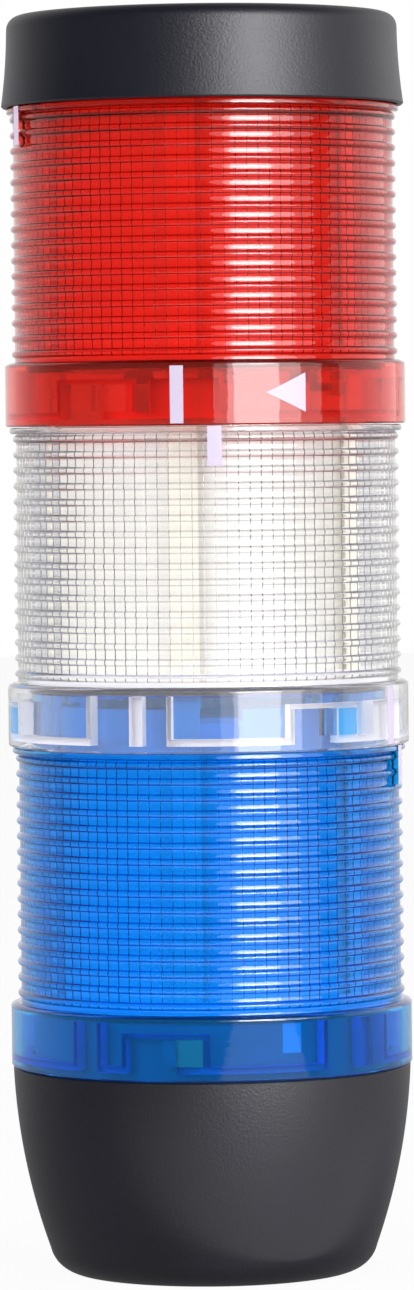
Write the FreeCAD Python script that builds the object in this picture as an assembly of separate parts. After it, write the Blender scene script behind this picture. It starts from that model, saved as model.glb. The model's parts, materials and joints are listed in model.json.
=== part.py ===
"""Stack light, 70 mm class: a base, three light modules and a cap, joined by bayonet collars.

Millimetres, +Z up, origin at the centre of the base's flat foot. Azimuths are degrees about +Z from
the front (-Y), positive towards +X. Every light module is the same set of parts in another colour, and
each one is turned by module_turn from the one above it, so that five bus strips line up all the way.
"""

import math
import os

import FreeCAD
import Part

# --- Stack ---------------------------------------------------------------------------------------
base_height = 37.0  # foot to the lowest collar's rim
module_pitch = 57.3  # collar rim to the next collar's rim
cap_height = 16.5
seam_gap = 0.15  # running gap under each collar's rim
module_names = ("blue", "clear", "red")  # from the base upwards
top_bar_azimuth = -8.0  # index bar of the top module
module_turn = 72.0  # a fifth of a turn from one module to the next
line_count = 5  # bus strips, one for each possible light

# --- Bayonet: collar of the upper part round the neck of the lower part --------------------------------
collar_radius = 36.0
collar_wall = 1.7
collar_depth = 10.1  # rim to the step inside
neck_gap = 0.3  # neck to the ribs round it
neck_wall = 1.7
slot_starts = (-161.6, -38.5, 84.6)  # from the index bar; uneven, so it fits one way only
slot_width = 23.6  # the chamber that a lug turns in
entry_width = 15.1  # the part of it that is open below
lock_turn = 10.5
lug_slack = 0.7  # degrees free at each end of the travel
rib_reach = 2.1  # all ribs stand this far in from the collar's bore
rib_angle = 1.4  # thickness of an upright rib, degrees
ledge_low = 1.2
ledge_high = 2.4
roof_low = 7.4
roof_high = 8.2
lug_gap = 0.4  # lug to the collar's bore
lug_play = 0.15  # lug to ledge and to roof
wall_ribs = (-101.8, -76.2, 180.0, 188.7)
key_rib = (-87.5, -83.5)  # the one thick rib
stop_shelf = (-8.4, 12.0)
ledge_gaps = ((-101.8, -76.2), (180.0, 188.7))
root = 0.2  # how far a rib runs into the wall that carries it

# --- Lens ----------------------------------------------------------------------------------------
collar_height = 11.5
collar_chamfer = (1.1, 0.7)  # radial, vertical
rim_chamfer = 0.3
rib_pitch = 2.78
rib_start = 1.5  # the collar's top to the lowest ridge
rib_depth = 0.65
ridge_inset = 1.25  # ridges inside the collar's radius
band_inset = 0.7  # the same for the plain band over the ribs
band_height = 3.9
band_chamfer = 0.4
flute_count = 100
flute_depth = 0.55
lens_wall = 1.8  # from the ribs' valleys to the flutes' roots
seat_step = 0.2  # the carrier's seat is this much wider than the flutes' roots
lens_roof = 1.75  # thickness of the shoulder over the lens
neck_chamfer = 0.4
top_mark_width = 2.5
top_mark_length = 6.2
top_mark_proud = 0.12

# --- Index marks on the collar, laid in shallow recesses ---------------------------------------------
mark_depth = 0.25
mark_gap = 0.03
bar_width = 2.35
bar_margin = 0.35
arrow_tip_azimuth = 25.3
arrow_length = 7.5
arrow_height = 6.9
arrow_middle = 5.6

# --- Inside a light module -----------------------------------------------------------------------
seal_thickness = 0.8
seal_gap = 0.1  # neck to the seal over it
seal_slack = 0.2  # inside its seat, and outside the neck's bore
seal_backing = 0.4
carrier_thickness = 2.0
carrier_gap = 0.1
core_gap = 1.2  # core to the bus strips
core_wall = 1.6
core_top = 7.35  # top of the core above the next collar's rim
spigot_height = 3.0
spigot_wall = 1.4
strip_inset = 1.7  # strips inside the neck's bore
strip_thickness = 0.5
strip_width = 5.0
strip_slot_gap = 0.12
foot_length = 5.5
foot_gap = 0.1
contact_gap = 0.3  # finger to the foot above it
finger_bend = 1.6
finger_tail = 0.8
pin_radius = 1.5
pin_gap = 0.15
pin_flange_radius = 3.0
pin_flange_height = 1.0
pin_top = 6.1  # above the next collar's rim
pin_tail = 1.0  # of the base's pin, under its plate
top_plate_thickness = 1.5
top_plate_top = 5.8
tab_azimuth = -132.7
tab_count = 3
tab_width = 8.4
tab_low = 1.75
tab_high = 5.0
tab_clear = 0.4  # tabs to the bus strips
tab_gap = 0.15
board_width = 38.0
board_headroom = 5.7
board_thickness = 1.6
board_gap = 0.5  # diodes to the common pin
board_rail_height = 3.0
board_rail_wall = 1.2
led_size = 5.0
led_height = 1.6
led_columns = 3
led_rows = 4

# --- Base: (inside the collar's radius, height) of its profile ---------------------------------------------
base_inset = 0.3
base_middle = (2.3, 19.8)
base_low = (6.6, 4.2)
foot_corner = (7.7, 1.35)
foot_inset = 9.8
base_wall = 2.2
floor_thickness = 2.6
entry_radius = 10.2
entry_boss_height = 4.8
entry_boss_wall = 2.0
fixing_circle = 40.0
fixing_radius = 2.25
fixing_count = 3
tower_distance = 19.0
tower_radius = 3.2
tower_count = 2
tower_azimuth = 90.0
plate_low = 2.0  # underside of the terminal plate above the collar's rim
plate_thickness = 2.0
plate_gap = 0.3  # plate to the neck's bore
wire_window = (16.0, 5.0)
window_gap = 0.5  # from a terminal block to the window its wires come up through
terminal_size = (24.0, 9.0, 5.4)
terminal_offset = 11.5
terminal_ways = 3
terminal_pitch = 7.6
terminal_screw_radius = 1.9
terminal_screw_slot = (0.6, 0.5)
terminal_screw_length = 2.2
wire_hole_radius = 1.1
wire_hole_height = 1.35
screw_head_radius = 2.7
screw_head_height = 1.7
screw_head_slot = 0.8
screw_radius = 1.45
screw_pilot = 1.5
screw_length = 9.0
pilot_spare = 1.0  # depth of a tower's pilot hole past the screw

# --- Cap: (inside its rim's radius, height) of its profile ----------------------------------------------
cap_flare = 0.2  # the rim stands out from the collars
cap_middle = (0.7, 6.5)
cap_shoulder = (1.05, 14.0)
cap_top_inset = 3.5
cap_wall = 2.2

# --- Radii that follow from the sizes above, from the outside inwards --------------------------------------
collar_bore = collar_radius - collar_wall
rib_bore = collar_bore - rib_reach
lug_radius = collar_bore - lug_gap
neck_radius = rib_bore - neck_gap
neck_bore = neck_radius - neck_wall
band_radius = collar_radius - band_inset
ridge_radius = collar_radius - ridge_inset
valley_radius = ridge_radius - rib_depth
flute_root = valley_radius - lens_wall
flute_tip = flute_root - flute_depth
seat_bore = flute_root + seat_step
seal_radius = seat_bore - seal_slack
seal_bore = neck_bore + seal_slack
strip_face = neck_bore - strip_inset
tab_reach = strip_face - strip_thickness - tab_clear
core_radius = strip_face - strip_thickness - core_gap
base_neck_bore = neck_radius - base_wall
cap_rim_radius = collar_radius + cap_flare

origin = FreeCAD.Vector(0, 0, 0)
z_axis = FreeCAD.Vector(0, 0, 1)


# --- Shape helpers ---------------------------------------------------------------------------------
def radial(r, z):
    """A point in the half plane at azimuth 0."""
    return FreeCAD.Vector(0, -r, z)


def outline(start, steps):
    """A face in the half plane at azimuth 0. A step is an end point, or a middle and an end for an arc."""
    edges = []
    here = start
    for step in steps:
        if len(step) == 2 and isinstance(step[0], tuple):
            middle, end = step
            edges.append(Part.Arc(radial(*here), radial(*middle), radial(*end)).toShape())
        else:
            end = step
            edges.append(Part.makeLine(radial(*here), radial(*end)))
        here = end
    if here != start:
        edges.append(Part.makeLine(radial(*here), radial(*start)))
    return Part.Face(Part.Wire(edges))


def turned(start, steps):
    """The outline revolved all the way round."""
    return outline(start, steps).revolve(origin, z_axis, 360)


def at(shape, azimuth):
    """A copy turned to an azimuth."""
    copy = shape.copy()
    copy.rotate(origin, z_axis, azimuth)
    return copy


def lifted(shape, height):
    """A copy moved up."""
    copy = shape.copy()
    copy.translate(FreeCAD.Vector(0, 0, height))
    return copy


def sector(r_in, r_out, low, high, start, end):
    """A piece of a ring between two azimuths."""
    face = outline((r_in, low), [(r_out, low), (r_out, high), (r_in, high)])
    return at(face.revolve(origin, z_axis, end - start), start)


def cylinder(radius, low, high):
    return Part.makeCylinder(radius, high - low, FreeCAD.Vector(0, 0, low))


def tower_azimuths():
    return [tower_azimuth + 360 / tower_count * i for i in range(tower_count)]


def post(radius, low, high, distance, azimuth):
    """An upright cylinder standing at a distance from the axis."""
    return at(Part.makeCylinder(radius, high - low, radial(distance, low)), azimuth)


def block(width, r_in, r_out, low, high, azimuth=0.0):
    """A box as wide as width across the radius, at an azimuth."""
    corner = FreeCAD.Vector(-width / 2, -r_out, low)
    return at(Part.makeBox(width, r_out - r_in, high - low, corner), azimuth)


def box(x, y, z):
    """A box from three (low, high) pairs."""
    size = [high - low for low, high in (x, y, z)]
    return Part.makeBox(*size, FreeCAD.Vector(x[0], y[0], z[0]))


def inset(radius, point):
    """A profile point from how far inside a radius it lies, and its height."""
    return radius - point[0], point[1]


def degrees(length, radius):
    """The angle that an arc of this length takes at this radius."""
    return math.degrees(length / radius)


# --- Bayonet ---------------------------------------------------------------------------------------
def ledges():
    """(start, end) of each stretch of the ledge that lugs lock over: it is open at the entries and gaps."""
    starts = sorted(slot_starts)
    stretches = []
    for i, start in enumerate(starts):
        low = start + entry_width
        end = starts[i + 1] if i + 1 < len(starts) else starts[0] + 360
        for gap_start, gap_end in sorted(ledge_gaps):
            if low < gap_start and gap_end < end:
                stretches.append((low, gap_start + rib_angle))
                low = gap_end
        stretches.append((low, end))
    return stretches


def collar_ribs():
    """Ledge, chambers and upright ribs inside a collar, with the index bar at azimuth 0 and the rim at 0."""
    outer = collar_bore + root
    ribs = [sector(rib_bore, outer, ledge_low, ledge_high, start, end) for start, end in ledges()]
    for start in slot_starts:
        end = start + slot_width
        ribs.append(sector(rib_bore, outer, ledge_low, roof_high, start - rib_angle, start))
        ribs.append(sector(rib_bore, outer, roof_low, roof_high, start - rib_angle, end + rib_angle))
        ribs.append(sector(rib_bore, outer, ledge_low, roof_high, end, end + rib_angle))
    for start in wall_ribs:
        ribs.append(sector(rib_bore, outer, ledge_low, collar_depth, start, start + rib_angle))
    ribs.append(sector(rib_bore, outer, ledge_low, collar_depth, *key_rib))
    shelf_start, shelf_end = stop_shelf
    ribs.append(sector(rib_bore, outer, ledge_low, roof_high, shelf_start, shelf_start + rib_angle))
    ribs.append(sector(rib_bore, outer, roof_low, roof_high, shelf_start, shelf_end))
    return ribs


def neck_lugs():
    """The lugs on a neck, locked in the collar above, whose index bar is at azimuth 0 and its rim at 0."""
    width = slot_width - lock_turn - 2 * lug_slack
    low = ledge_high + lug_play
    high = roof_low - lug_play
    lugs = []
    for start in slot_starts:
        end = start + slot_width - lug_slack
        lugs.append(sector(neck_radius - root, lug_radius, low, high, end - width, end))
    return lugs


# --- Lens ------------------------------------------------------------------------------------------
def neck_rise():
    """Height of a neck inside a collar, from the collar's rim."""
    return collar_depth - seal_gap


def lens_outside():
    """Corners of the outside, from the collar's rim up over the ribs and the band to the shoulder."""
    shoulder = module_pitch - seam_gap
    chamfer_in, chamfer_down = collar_chamfer
    band_low = module_pitch - band_height
    first_rib = collar_height + rib_start
    rib_count = round((band_low - first_rib) / rib_pitch)
    points = [
        (collar_radius, rim_chamfer),
        (collar_radius, collar_height - chamfer_down),
        (collar_radius - chamfer_in, collar_height),
        (valley_radius, collar_height),
    ]
    for i in range(rib_count):
        ridge = first_rib + i * rib_pitch
        if i:
            points.append((valley_radius, ridge - rib_pitch / 2))
        points.append((ridge_radius, ridge))
    last_valley = first_rib + (rib_count - 0.5) * rib_pitch
    points += [
        (valley_radius, last_valley),
        (band_radius, max(band_low, last_valley + band_chamfer)),
        (band_radius, shoulder - band_chamfer),
        (band_radius - band_chamfer, shoulder),
        (neck_radius, shoulder),
        (neck_radius, module_pitch + neck_rise() - neck_chamfer),
        (neck_radius - neck_chamfer, module_pitch + neck_rise()),
    ]
    return points


def flutes(low, high):
    """The fluted space inside the lens: a prism with an inward edge between each two flutes."""
    step = 2 * math.pi / flute_count
    corners = []
    for i in range(flute_count):
        for radius, angle in ((flute_root, i * step), (flute_tip, (i + 0.5) * step)):
            corners.append(FreeCAD.Vector(radius * math.cos(angle), radius * math.sin(angle), low))
    face = Part.Face(Part.makePolygon(corners + corners[:1]))
    return face.extrude(FreeCAD.Vector(0, 0, high - low))


def carrier_top():
    return collar_depth + seal_thickness + carrier_thickness


def arrow(r_in, r_out, grow):
    """The triangle that points the way to lock, as a prism through the collar's face."""
    half = arrow_height / 2
    tip_x = collar_radius * math.radians(arrow_tip_azimuth)
    corners = [
        (tip_x - 2 * grow, arrow_middle),
        (tip_x + arrow_length + grow, arrow_middle + half + grow),
        (tip_x + arrow_length + grow, arrow_middle - half - grow),
    ]
    centre = arrow_tip_azimuth + degrees(arrow_length / 2, collar_radius)
    middle_x = tip_x + arrow_length / 2
    points = [FreeCAD.Vector(x - middle_x, -r_out - 1, z) for x, z in corners]
    face = Part.Face(Part.makePolygon(points + points[:1]))
    prism = face.extrude(FreeCAD.Vector(0, r_out + 1 - r_in + 2, 0))
    shell = cylinder(r_out, 0, collar_height).cut(cylinder(r_in, 0, collar_height))
    return at(prism, centre).common(shell)


def mark_recesses():
    """Cutters for the bar and the arrow, with the index bar at azimuth 0."""
    inner = collar_radius - mark_depth - mark_gap
    half = degrees(bar_width / 2 + mark_gap, collar_radius)
    high = collar_height - collar_chamfer[1] - bar_margin
    bar = sector(inner, collar_radius + 1, bar_margin - mark_gap, high + mark_gap, -half, half)
    return [bar, arrow(inner, collar_radius + 1, mark_gap)]


def marks():
    """The white bar and arrow as thin inlays, flush with the collar."""
    inner = collar_radius - mark_depth
    half = degrees(bar_width / 2, collar_radius)
    high = collar_height - collar_chamfer[1] - bar_margin
    bar = sector(inner, collar_radius, bar_margin, high, -half, half)
    return Part.makeCompound([bar, arrow(inner, collar_radius, 0.0)])


def lens():
    """One moulding: collar, ribbed and fluted lens, and the neck with its lugs for the part above."""
    roof = module_pitch - seam_gap - lens_roof
    inside = [
        (neck_bore, module_pitch + neck_rise()),
        (neck_bore, roof),
        (seat_bore, roof),
        (seat_bore, collar_depth),
        (collar_bore, collar_depth),
        (collar_bore, 0),
    ]
    body = turned((collar_radius - rim_chamfer, 0), lens_outside() + inside)
    seat = carrier_top()
    wall = cylinder(seat_bore + root, seat, roof + root).cut(flutes(seat, roof + root))
    wall = wall.cut(cylinder(neck_bore, roof, roof + root))
    half = degrees(top_mark_width / 2, band_radius)
    mark_azimuth = lock_turn - module_turn
    shoulder = module_pitch - seam_gap
    mark_face = band_radius + top_mark_proud
    top_mark = sector(valley_radius - root, mark_face, shoulder - top_mark_length, shoulder, -half, half)
    lugs = [at(lifted(lug, module_pitch), -module_turn) for lug in neck_lugs()]
    body = body.fuse([wall, at(top_mark, mark_azimuth)] + collar_ribs() + lugs)
    return body.cut(mark_recesses()).removeSplitter()


# --- Inside a light module -----------------------------------------------------------------------
def strip_outline(foot_z, finger_z):
    """Side view of a bus strip: a foot bent inwards below, and a hooked contact finger on top."""
    t = strip_thickness
    bend = finger_z - finger_bend
    inner = finger_bend - t
    centre = strip_face - finger_bend
    slant = math.sqrt(0.5)
    reach = strip_face - foot_length
    return outline(
        (reach, foot_z),
        [
            (strip_face, foot_z),
            (strip_face, bend),
            ((centre + finger_bend * slant, bend + finger_bend * slant), (centre, finger_z)),
            ((centre - finger_bend * slant, bend + finger_bend * slant), (centre - finger_bend, bend)),
            (centre - finger_bend, bend - finger_tail),
            (centre - inner, bend - finger_tail),
            (centre - inner, bend),
            ((centre - inner * slant, bend + inner * slant), (centre, bend + inner)),
            ((centre + inner * slant, bend + inner * slant), (centre + inner, bend)),
            (centre + inner, foot_z + t),
            (reach, foot_z + t),
        ],
    )


def strips(foot_z, finger_z):
    """One strip for each line, evenly round the axis, with line 1 behind the index bar."""
    face = strip_outline(foot_z, finger_z)
    face.translate(FreeCAD.Vector(-strip_width / 2, 0, 0))
    strip = face.extrude(FreeCAD.Vector(strip_width, 0, 0))
    return Part.makeCompound([at(strip, 360 / line_count * i) for i in range(line_count)])


def foot_height():
    """Underside of a strip's foot above its collar's rim."""
    return collar_depth + seal_thickness - foot_gap - strip_thickness


def finger_height():
    """Top of a contact finger above the rim of the collar round it."""
    return foot_height() - contact_gap


def strip_slots(low, high):
    width = strip_width + 2 * strip_slot_gap
    r_in = strip_face - strip_thickness - strip_slot_gap
    cutter = block(width, r_in, strip_face + strip_slot_gap, low, high)
    return [at(cutter, 360 / line_count * i) for i in range(line_count)]


def module_seal():
    low = collar_depth
    ring = cylinder(seal_radius, low, low + seal_thickness)
    return ring.cut(cylinder(seal_bore, low, low + seal_thickness))


def contact_carrier():
    """The disc that closes a module below: it seats under the flutes and holds strips, core and board."""
    low = collar_depth + seal_thickness
    high = carrier_top()
    disc = cylinder(seat_bore - carrier_gap, low, high)
    spigot_radius = core_radius - core_wall - carrier_gap
    spigot = cylinder(spigot_radius, high - root, high + spigot_height)
    spigot = spigot.cut(cylinder(spigot_radius - spigot_wall, high - root, high + spigot_height))
    half = board_width / 2
    front = board_near() - carrier_gap - board_rail_wall
    back = board_near() + board_thickness + carrier_gap
    rail_height = (high - root, high + board_rail_height)
    rails = [box((-half, half), (near, near + board_rail_wall), rail_height) for near in (front, back)]
    disc = disc.fuse([spigot] + rails)
    holes = [cylinder(pin_radius + pin_gap, low, high)] + strip_slots(low, high)
    flange_room = cylinder(pin_flange_radius + pin_gap, high, high + board_rail_height)
    return disc.cut(holes + [flange_room]).removeSplitter()


def tab_azimuths():
    return [tab_azimuth + 360 / tab_count * i for i in range(tab_count)]


def tab_inside():
    """Where the tabs start, well inside the core's wall."""
    return core_radius - 2 * core_wall


def diffuser_core():
    """The white tube that spreads the light, notched at the top for the top plate's tabs."""
    low = carrier_top()
    high = module_pitch + core_top
    tube = cylinder(core_radius, low, high).cut(cylinder(core_radius - core_wall, low, high))
    width = tab_width + 2 * tab_gap
    foot = module_pitch + tab_low - tab_gap
    notch = block(width, tab_inside(), tab_reach + tab_gap, foot, high)
    return tube.cut([at(notch, azimuth) for azimuth in tab_azimuths()])


def top_plate():
    """The disc that closes the core, with tabs that stand in the core's notches."""
    high = module_pitch + top_plate_top
    low = high - top_plate_thickness
    disc = cylinder(core_radius - core_wall - carrier_gap, low, high)
    span = (module_pitch + tab_low, module_pitch + tab_high)
    tab = block(tab_width, tab_inside(), tab_reach, *span)
    disc = disc.fuse([at(tab, azimuth) for azimuth in tab_azimuths()])
    return disc.cut(cylinder(pin_radius + pin_gap, low, high)).removeSplitter()


def common_pin():
    """The centre contact, from under the carrier to above the top plate, with a flange on the carrier."""
    low = pin_top + contact_gap
    seat = carrier_top()
    pin = cylinder(pin_radius, low, module_pitch + pin_top)
    return pin.fuse(cylinder(pin_flange_radius, seat, seat + pin_flange_height)).removeSplitter()


def board_near():
    """The board stands behind the common pin, with room for its diodes."""
    return pin_radius + board_gap + led_height


def board_top():
    return module_pitch + top_plate_top - top_plate_thickness - board_headroom


def led_board():
    half = board_width / 2
    near = board_near()
    return box((-half, half), (near, near + board_thickness), (carrier_top(), board_top()))


def leds():
    """Rows of light-emitting diodes on both faces of the board, evenly spread over it."""
    low = carrier_top() + board_rail_height
    pitch_x = board_width / led_columns
    pitch_z = (board_top() - low) / led_rows
    half = led_size / 2
    parts = []
    for column in range(led_columns):
        x = (column + 0.5) * pitch_x - board_width / 2
        for row in range(led_rows):
            z = low + (row + 0.5) * pitch_z
            for y in (board_near() - led_height, board_near() + board_thickness):
                parts.append(box((x - half, x + half), (y, y + led_height), (z - half, z + half)))
    return Part.makeCompound(parts)


# --- Base ------------------------------------------------------------------------------------------
def base_housing():
    """The tapered bowl, with a neck and lugs above and a cable entry and fixing holes in its foot."""
    shoulder = base_height - seam_gap
    neck_top = base_height + neck_rise()
    middle = inset(collar_radius, base_middle)
    low = inset(collar_radius, base_low)
    corner = inset(collar_radius, foot_corner)
    body = turned(
        (collar_radius - foot_inset, 0),
        [
            (corner, low),
            (middle, (collar_radius - base_inset, shoulder)),
            (neck_radius, shoulder),
            (neck_radius, neck_top - neck_chamfer),
            (neck_radius - neck_chamfer, neck_top),
            (base_neck_bore, neck_top),
            (base_neck_bore, shoulder - base_wall),
            inset(middle[0], (base_wall, middle[1])),
            inset(low[0], (base_wall, low[1])),
            inset(low[0], (base_wall + floor_thickness / 2, floor_thickness)),
            (0, floor_thickness),
            (0, 0),
        ],
    )
    tower_top = base_height + plate_low
    towers = []
    pilots = []
    for azimuth in tower_azimuths():
        towers.append(post(tower_radius, floor_thickness - root, tower_top, tower_distance, azimuth))
        pilot_low = tower_top + plate_thickness - screw_length - pilot_spare
        pilots.append(post(screw_pilot, pilot_low, tower_top, tower_distance, azimuth))
    boss = cylinder(entry_radius + entry_boss_wall, floor_thickness - root, entry_boss_height)
    lugs = [at(lifted(lug, base_height), bar_azimuth(0)) for lug in neck_lugs()]
    body = body.fuse(towers + [boss] + lugs)
    holes = [cylinder(entry_radius, 0, entry_boss_height)]
    for i in range(fixing_count):
        azimuth = 360 / fixing_count * (i + 0.5)
        holes.append(post(fixing_radius, 0, floor_thickness, fixing_circle / 2, azimuth))
    return body.cut(holes + pilots).removeSplitter()


def terminal_plate():
    low = base_height + plate_low
    high = low + plate_thickness
    plate = cylinder(base_neck_bore - plate_gap, low, high)
    window_x, window_y = wire_window
    near = terminal_offset + terminal_size[1] / 2 + window_gap
    windows = [block(window_x, near, near + window_y, low, high, azimuth) for azimuth in (0, 180)]
    holes = [post(screw_pilot, low, high, tower_distance, azimuth) for azimuth in tower_azimuths()]
    slots = [at(slot, bar_azimuth(0)) for slot in strip_slots(low, high)]
    centre = cylinder(pin_radius + pin_gap, low, high)
    return plate.cut(holes + slots + windows + [centre]).removeSplitter()


def bar_azimuth(index):
    """Azimuth of a module's index bar; 0 is the lowest module."""
    return top_bar_azimuth + module_turn * (len(module_names) - 1 - index)


def terminal_places():
    """(x, y) of each terminal screw."""
    for y in (-terminal_offset, terminal_offset):
        for i in range(terminal_ways):
            yield (i - (terminal_ways - 1) / 2) * terminal_pitch, y


def terminal_seat():
    """Top of the terminal plate."""
    return base_height + plate_low + plate_thickness


def terminal_blocks():
    """Two rows of screw terminals: a well over each way, and a hole for its wire below the well."""
    low = terminal_seat()
    size_x, size_y, size_z = terminal_size
    high = low + size_z
    well_low = high - terminal_screw_slot[1] - terminal_screw_length
    blocks = []
    for y in (-terminal_offset, terminal_offset):
        body = box((-size_x / 2, size_x / 2), (y - size_y / 2, y + size_y / 2), (low, high))
        outwards = FreeCAD.Vector(0, math.copysign(1, y), 0)
        cuts = []
        for x, row in terminal_places():
            if row != y:
                continue
            well = FreeCAD.Vector(x, y, well_low)
            mouth = FreeCAD.Vector(x, y, low + wire_hole_height)
            cuts.append(Part.makeCylinder(terminal_screw_radius + pin_gap, high - well_low, well))
            cuts.append(Part.makeCylinder(wire_hole_radius, size_y, mouth, outwards))
        blocks.append(body.cut(cuts).removeSplitter())
    return Part.makeCompound(blocks)


def terminal_screws():
    slot_across, sunk = terminal_screw_slot
    high = terminal_seat() + terminal_size[2] - sunk
    low = high - terminal_screw_length
    reach = 2 * terminal_screw_radius
    screws = []
    for x, y in terminal_places():
        screw = Part.makeCylinder(terminal_screw_radius, high - low, FreeCAD.Vector(x, y, low))
        slot = box((x - slot_across / 2, x + slot_across / 2), (y - reach, y + reach), (high - sunk, high))
        screws.append(screw.cut(slot))
    return Part.makeCompound(screws)


def base_pin():
    seat = terminal_seat()
    pin = cylinder(pin_radius, base_height + plate_low - pin_tail, base_height + pin_top)
    return pin.fuse(cylinder(pin_flange_radius, seat, seat + pin_flange_height)).removeSplitter()


def plate_screws():
    """Pan-head screws that hold the terminal plate on its towers."""
    seat = terminal_seat()
    high = seat + screw_head_height
    near = tower_distance - screw_head_slot / 2
    screws = []
    for azimuth in tower_azimuths():
        head = post(screw_head_radius, seat, high, tower_distance, azimuth)
        shank = post(screw_radius, seat - screw_length, seat + root, tower_distance, azimuth)
        slot = block(3 * screw_head_radius, near, near + screw_head_slot, high - screw_head_height / 2, high)
        screws.append(head.fuse(shank).cut(at(slot, azimuth)).removeSplitter())
    return Part.makeCompound(screws)


# --- Cap -------------------------------------------------------------------------------------------
def cap():
    """The plain lid: the same collar as a lens, closed above by a flat top with a rounded edge."""
    seat = collar_depth + seal_thickness
    under = cap_height - cap_wall
    inside = seal_bore - seal_backing
    slant = 1 - math.sqrt(0.5)
    shoulder = inset(cap_rim_radius, cap_shoulder)
    top = inset(cap_rim_radius, (cap_top_inset, cap_height))
    round_middle = (shoulder[0] - (shoulder[0] - top[0]) * slant, top[1] - (top[1] - shoulder[1]) * slant)
    body = turned(
        (cap_rim_radius, 0),
        [
            (inset(cap_rim_radius, cap_middle), shoulder),
            (round_middle, top),
            (0, cap_height),
            (0, under),
            (inside, under),
            (inside, seat),
            (seat_bore, seat),
            (seat_bore, collar_depth),
            (collar_bore, collar_depth),
            (collar_bore, 0),
        ],
    )
    return body.fuse(collar_ribs()).removeSplitter()


# --- The whole stack -------------------------------------------------------------------------------
def module_parts():
    """The parts of one light module, with its collar's rim at 0 and its index bar at azimuth 0."""
    finger = module_pitch + finger_height()
    return {
        "lens": lens(),
        "marks": marks(),
        "seal": module_seal(),
        "contact_carrier": contact_carrier(),
        "diffuser_core": diffuser_core(),
        "led_board": led_board(),
        "leds": leds(),
        "bus_strips": strips(foot_height(), finger),
        "common_pin": common_pin(),
        "top_plate": top_plate(),
    }


def stack():
    """Every part by its name, in place."""
    foot = base_height + plate_low - foot_gap - strip_thickness
    base_strips = strips(foot, base_height + finger_height())
    parts = {
        "base_housing": base_housing(),
        "terminal_plate": terminal_plate(),
        "terminal_blocks": terminal_blocks(),
        "terminal_screws": terminal_screws(),
        "base_contacts": at(base_strips, bar_azimuth(0)),
        "base_common_pin": base_pin(),
        "plate_screws": plate_screws(),
    }
    for index, colour in enumerate(module_names):
        height = base_height + module_pitch * index
        for name, shape in module_parts().items():
            parts[f"{colour}_{name}"] = at(lifted(shape, height), bar_azimuth(index))
    cap_z = base_height + module_pitch * len(module_names)
    cap_azimuth = bar_azimuth(len(module_names))
    parts["cap"] = at(lifted(cap(), cap_z), cap_azimuth)
    parts["cap_seal"] = at(lifted(module_seal(), cap_z), cap_azimuth)
    return parts


def main():
    os.makedirs("parts", exist_ok=True)
    for name, shape in stack().items():
        shape.exportStep(f"parts/{name}.step")
        print(f"{name}: {len(shape.Solids)} solid(s), {shape.Volume / 1000:.2f} cm3, valid {shape.isValid()}")


main()
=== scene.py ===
"""Looks of a 70 mm stack light: a black base and cap, and three ribbed light modules between them.

Sizes are millimetres in the dataclasses and metres in the meshes. Azimuths are degrees about +Z from the
front (-Y), positive towards +X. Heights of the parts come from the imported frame.
"""

from __future__ import annotations

import json
import logging
import math
from dataclasses import dataclass
from enum import Enum
from typing import Callable, Sequence

import bpy
import numpy as np
from mathutils import Matrix, Vector

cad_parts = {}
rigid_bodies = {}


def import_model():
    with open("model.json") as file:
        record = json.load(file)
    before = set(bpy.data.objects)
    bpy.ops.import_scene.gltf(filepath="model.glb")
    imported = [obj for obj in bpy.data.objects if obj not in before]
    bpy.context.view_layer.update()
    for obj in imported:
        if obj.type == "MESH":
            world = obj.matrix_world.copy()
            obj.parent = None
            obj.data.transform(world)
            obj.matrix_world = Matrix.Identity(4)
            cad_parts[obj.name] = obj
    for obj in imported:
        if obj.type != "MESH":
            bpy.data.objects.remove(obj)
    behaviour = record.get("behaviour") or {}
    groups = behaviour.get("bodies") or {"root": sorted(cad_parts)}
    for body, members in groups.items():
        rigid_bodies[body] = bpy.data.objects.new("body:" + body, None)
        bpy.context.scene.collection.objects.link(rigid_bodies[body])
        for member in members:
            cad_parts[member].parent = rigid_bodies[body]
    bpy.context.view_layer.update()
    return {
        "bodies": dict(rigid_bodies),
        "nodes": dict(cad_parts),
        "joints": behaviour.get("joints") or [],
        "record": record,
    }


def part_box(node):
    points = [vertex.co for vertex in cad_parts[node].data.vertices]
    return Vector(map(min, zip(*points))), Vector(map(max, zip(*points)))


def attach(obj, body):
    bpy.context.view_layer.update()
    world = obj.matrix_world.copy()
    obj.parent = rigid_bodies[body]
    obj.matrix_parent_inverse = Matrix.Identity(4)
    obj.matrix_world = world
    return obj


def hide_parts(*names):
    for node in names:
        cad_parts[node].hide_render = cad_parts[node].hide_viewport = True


LOG = logging.getLogger("stack_light")
MM = 0.001
AXIS = (0.0, 0.0, 1.0)

# Material slots: of the lens, then of the base.
MARK_SLOT, RIB_SLOT = 1, 2
NECK_SLOT, PAD_SLOT = 1, 2

# Millimetres: how far a spot may lie from its wall, what takes in a limit's own corners, and how far a
# cutter goes past a face.
SLACK = 0.05
HAIR = 0.01
PAST = 1.0
# Outward share of a normal: of a face that lies on an upright wall, and of one that just leans outwards.
UPRIGHT = 0.9
LEANING = 0.05
# Metres: corners nearer than this become one after a boolean.
WELD_GAP = 5e-6
ROD_SIDES = 48
# Share of the light that goes straight through the plastic. The rest is scattered, as a faint haze.
CLEARNESS = 0.95
WHITE = "#FFFFFF"
AIM_HEIGHT = 0.12

Point = tuple[float, float]
Line = tuple[Point, ...]
Row = tuple[float, ...]
Band = tuple[float, float, float, float]
Array = np.ndarray
Object = bpy.types.Object
Tree = bpy.types.NodeTree
Node = bpy.types.Node
Socket = bpy.types.NodeSocket


# --- Mesh helpers ---


def set_mode(mode: str) -> None:
    """Goes to OBJECT or EDIT mode."""
    bpy.ops.object.mode_set(mode=mode)


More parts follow.
